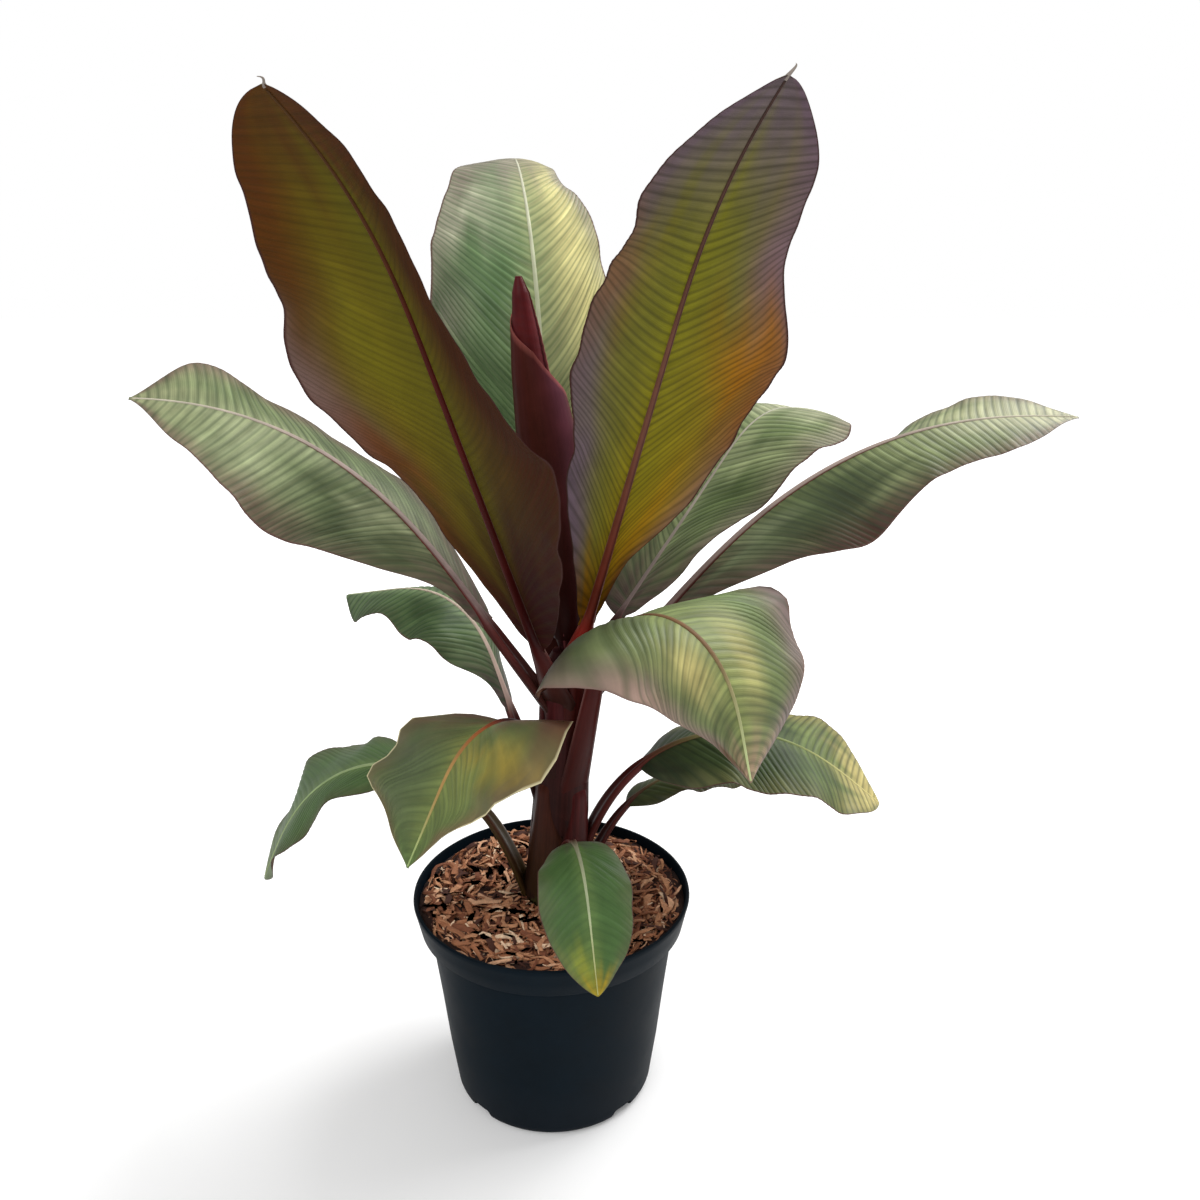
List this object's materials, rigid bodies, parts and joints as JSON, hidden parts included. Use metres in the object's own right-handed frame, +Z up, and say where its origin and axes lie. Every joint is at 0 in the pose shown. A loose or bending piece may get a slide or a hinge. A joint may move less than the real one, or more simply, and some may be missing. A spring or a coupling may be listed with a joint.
{
  "type": "potted red abyssinian banana",
  "caption": "Young red Abyssinian banana plant with broad red-green leaves in a round black nursery pot topped with bark mulch.",
  "frame": {"origin": "centre of the pot's flat underside", "axes": "+Z up the plant, -Y towards the side seen as the front, +X to the right from the front"},
  "size_m": [0.8738, 0.5258, 0.9683],
  "materials": {
    "pot_plastic": "matt moulded black polypropylene, slightly shinier on the collar",
    "bark": "rough chipped pine bark, dry",
    "stem": "dark smooth overlapping leaf sheaths",
    "petiole": "dark red, smooth and slightly waxy",
    "leaf": "thin satin leaf with pleated veins, green above and red-brown below",
    "young_leaf": "smooth waxy maroon rolled leaf"
  },
  "bodies": {
    "root": {"pot": "pot_plastic", "mulch": "bark", "stem": "stem", "petiole_mid_back": "petiole", "blade_mid_back": "leaf", "petiole_tall_back": "petiole", "blade_tall_back": "leaf", "petiole_upright_right": "petiole", "blade_upright_right": "leaf", "petiole_short_left": "petiole", "blade_short_left": "leaf", "petiole_long_right": "petiole", "blade_long_right": "leaf", "petiole_long_left": "petiole", "blade_long_left": "leaf", "petiole_small_right": "petiole", "blade_small_right": "leaf", "petiole_low_right": "petiole", "blade_low_right_base": "leaf", "blade_low_right_tip": "leaf", "petiole_tall_left": "petiole", "blade_tall_left": "leaf", "petiole_tall_right": "petiole", "blade_tall_right": "leaf", "petiole_arching_right": "petiole", "blade_arching_right_base": "leaf", "blade_arching_right_tip": "leaf", "petiole_low_left": "petiole", "blade_low_left_base": "leaf", "blade_low_left_tip": "leaf", "petiole_arching_left": "petiole", "blade_arching_left": "leaf", "petiole_small_front": "petiole", "blade_small_front": "leaf", "furled_leaf": "young_leaf"}
  },
  "joints": []
}
